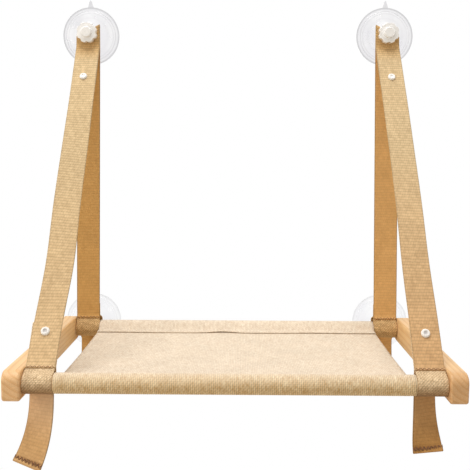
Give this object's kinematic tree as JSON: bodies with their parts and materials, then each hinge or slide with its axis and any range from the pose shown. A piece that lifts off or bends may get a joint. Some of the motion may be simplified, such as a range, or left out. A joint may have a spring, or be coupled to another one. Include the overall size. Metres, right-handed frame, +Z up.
{
  "type": "cat window hammock",
  "caption": "Cat hammock for a window: a cloth sling on a wooden frame, hung by webbing straps from clear suction cups with lobed knobs.",
  "frame": {"origin": "on the window glass, midway between the lower suction cups and level with the rear bar's axis", "axes": "+X to the right as seen from the room, +Y into the glass, +Z up"},
  "size_m": [0.6184, 0.3752, 0.6814],
  "materials": {
    "wood": "satin clear-coated pine",
    "cloth": "coarse linen-look canvas",
    "webbing": "woven flat webbing",
    "clear_vinyl": "clear soft vinyl",
    "clear_plastic": "clear moulded plastic",
    "stud_plastic": "white nylon",
    "snap_plastic": "white moulded snap",
    "screw_steel": "zinc plated"
  },
  "bodies": {
    "window_mount": {"upper_left_cup": "clear_vinyl", "lower_left_cup": "clear_vinyl", "upper_left_stud": "stud_plastic", "lower_left_stud": "stud_plastic", "lower_left_nut": "stud_plastic", "left_rear_strap": "webbing", "left_rear_loop": "webbing", "left_front_strap": "webbing", "upper_left_snap_cap": "snap_plastic", "upper_left_snap_socket": "snap_plastic", "upper_right_cup": "clear_vinyl", "lower_right_cup": "clear_vinyl", "upper_right_stud": "stud_plastic", "lower_right_stud": "stud_plastic", "lower_right_nut": "stud_plastic", "right_rear_strap": "webbing", "right_rear_loop": "webbing", "right_front_strap": "webbing", "upper_right_snap_cap": "snap_plastic", "upper_right_snap_socket": "snap_plastic"},
    "frame": {"left_arm": "wood", "right_arm": "wood", "front_bar": "wood", "rear_bar": "wood", "frame_screws": "screw_steel", "hammock_cloth": "cloth"},
    "left_front_loop_set": {"left_front_loop": "webbing", "lower_left_snap_cap": "snap_plastic", "lower_left_snap_socket": "snap_plastic"},
    "left_front_tail_set": {"left_front_tail": "webbing"},
    "left_rear_tail_set": {"left_rear_tail": "webbing"},
    "left_washer_set": {"left_washer": "clear_plastic"},
    "left_knob_set": {"left_knob": "clear_plastic"},
    "right_front_loop_set": {"right_front_loop": "webbing", "lower_right_snap_cap": "snap_plastic", "lower_right_snap_socket": "snap_plastic"},
    "right_front_tail_set": {"right_front_tail": "webbing"},
    "right_rear_tail_set": {"right_rear_tail": "webbing"},
    "right_washer_set": {"right_washer": "clear_plastic"},
    "right_knob_set": {"right_knob": "clear_plastic"}
  },
  "joints": [
    {"name": "frame_fold", "type": "hinge", "parent": "window_mount", "child": "frame", "pos_m": [0, -0.0452, 0], "axis": [-1, 0, 0], "range_deg": [0, 75], "deforming": ["left_front_strap", "right_front_strap"]},
    {"name": "left_loop_swivel", "type": "hinge", "parent": "frame", "child": "left_front_loop_set", "pos_m": [-0.2602, -0.3552, 0], "axis": [-1, 0, 0], "range_deg": [-88, 0]},
    {"name": "left_front_tail_swing", "type": "hinge", "parent": "left_front_loop_set", "child": "left_front_tail_set", "pos_m": [-0.2602, -0.3402, -0.0043], "axis": [-1, 0, 0], "range_deg": [-10, 12]},
    {"name": "left_rear_tail_swing", "type": "hinge", "parent": "window_mount", "child": "left_rear_tail_set", "pos_m": [-0.2602, -0.03274, -0.01138], "axis": [-1, 0, 0], "range_deg": [-10, 12]},
    {"name": "left_knob_travel", "type": "slide", "parent": "window_mount", "child": "left_washer_set", "axis": [0, -1, 0], "range_m": [0, 0.005]},
    {"name": "left_knob_turn", "type": "hinge", "parent": "left_washer_set", "child": "left_knob_set", "pos_m": [-0.2562, -0.0289, 0.51], "axis": [0, -1, 0], "range_deg": [0, 1440]},
    {"name": "right_loop_swivel", "type": "hinge", "parent": "frame", "child": "right_front_loop_set", "pos_m": [0.2602, -0.3552, 0], "axis": [-1, 0, 0], "range_deg": [-88, 0]},
    {"name": "right_front_tail_swing", "type": "hinge", "parent": "right_front_loop_set", "child": "right_front_tail_set", "pos_m": [0.2602, -0.3402, -0.0043], "axis": [-1, 0, 0], "range_deg": [-10, 12]},
    {"name": "right_rear_tail_swing", "type": "hinge", "parent": "window_mount", "child": "right_rear_tail_set", "pos_m": [0.2602, -0.03274, -0.01138], "axis": [-1, 0, 0], "range_deg": [-10, 12]},
    {"name": "right_knob_travel", "type": "slide", "parent": "window_mount", "child": "right_washer_set", "axis": [0, -1, 0], "range_m": [0, 0.005]},
    {"name": "right_knob_turn", "type": "hinge", "parent": "right_washer_set", "child": "right_knob_set", "pos_m": [0.2562, -0.0289, 0.51], "axis": [0, -1, 0], "range_deg": [0, 1440]}
  ],
  "couplings": [
    {"joint": "left_loop_swivel", "follows": "frame_fold", "ratio": -1.1561},
    {"joint": "left_knob_travel", "follows": "left_knob_turn", "m_per_rad": 0.00019894},
    {"joint": "right_loop_swivel", "follows": "frame_fold", "ratio": -1.1561},
    {"joint": "right_knob_travel", "follows": "right_knob_turn", "m_per_rad": 0.00019894}
  ]
}
